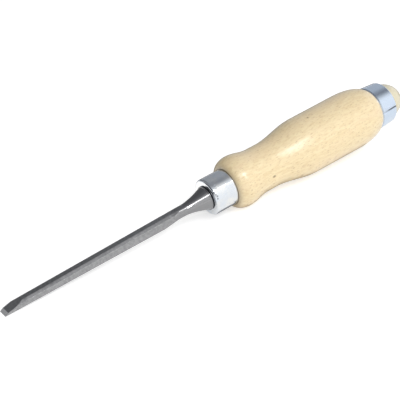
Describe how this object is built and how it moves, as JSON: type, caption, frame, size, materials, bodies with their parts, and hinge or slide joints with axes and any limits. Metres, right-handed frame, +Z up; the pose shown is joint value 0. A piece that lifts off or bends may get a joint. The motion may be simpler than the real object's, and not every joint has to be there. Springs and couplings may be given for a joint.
{
  "type": "wood chisel",
  "caption": "Narrow wood chisel: bevelled steel blade with a flared bolster, plated ferrule, turned pale wood handle and a plated striking hoop under a domed butt.",
  "frame": {"origin": "on the tool's axis at the rear edge of the ferrule, where the wood's shoulder begins and a ring slid over the ferrule stops", "axes": "+X along the tool towards the butt, the cutting edge at -X; +Z up, on the bevel side, with the blade's flat back facing -Z; +Y to the left of someone looking from the cutting edge to the butt"},
  "size_m": [0.2587, 0.033, 0.033],
  "materials": {
    "ground_steel": "ground, with fine marks across the blade and turned marks on the flare",
    "plated_steel": "bright zinc plate, slightly soft",
    "lacquered_beech": "pale beech with short flecks under satin lacquer"
  },
  "bodies": {
    "root": {"blade": "ground_steel", "ferrule": "plated_steel", "handle": "lacquered_beech", "striking_hoop": "plated_steel"}
  },
  "joints": []
}
